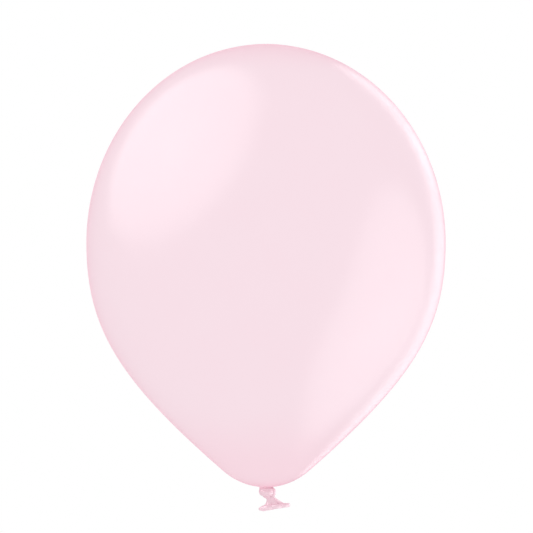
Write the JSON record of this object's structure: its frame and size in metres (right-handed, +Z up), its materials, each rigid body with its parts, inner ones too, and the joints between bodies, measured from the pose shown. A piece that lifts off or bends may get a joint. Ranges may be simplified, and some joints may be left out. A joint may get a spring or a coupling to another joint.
{
  "type": "latex balloon",
  "caption": "Round party balloon of thin pastel latex film, inflated and closed by an overhand knot in its own neck, with a flared tail and rolled lip.",
  "frame": {"origin": "on the balloon's axis at the neck, in the groove between the inflated film and the knot, where a ribbon is tied", "axes": "+Z up the axis through the crown; +X to the side the tail's longer end leans towards; the mouth is flattened front to back, along Y"},
  "size_m": [0.2999, 0.3, 0.3902],
  "materials": {
    "film": "stretched pastel latex, satin, slightly see-through",
    "neck_rubber": "unstretched pastel latex, satin",
    "lip_rubber": "rolled pastel latex, satin"
  },
  "bodies": {
    "balloon": {"envelope": "film"},
    "neck": {"neck_gather": "neck_rubber"},
    "knot": {"knot_core": "neck_rubber", "knot_loop": "neck_rubber", "knot_tuck": "neck_rubber"},
    "tail": {"tail_skirt": "neck_rubber", "rolled_lip": "lip_rubber"}
  },
  "joints": [
    {"name": "neck_swing", "type": "hinge", "parent": "balloon", "child": "neck", "pos_m": [0, 0, 0], "axis": [0, 1, 0], "range_deg": [-35, 35], "stiffness_Nm_per_rad": 0.0015},
    {"name": "knot_twist", "type": "hinge", "parent": "neck", "child": "knot", "pos_m": [0, 0, 0], "axis": [0, 0, 1], "range_deg": [-90, 90], "stiffness_Nm_per_rad": 0.0005},
    {"name": "tail_fold", "type": "hinge", "parent": "knot", "child": "tail", "pos_m": [0.0033, 0, -0.01105], "axis": [1, 0, 0], "range_deg": [-60, 60], "stiffness_Nm_per_rad": 0.0006}
  ]
}
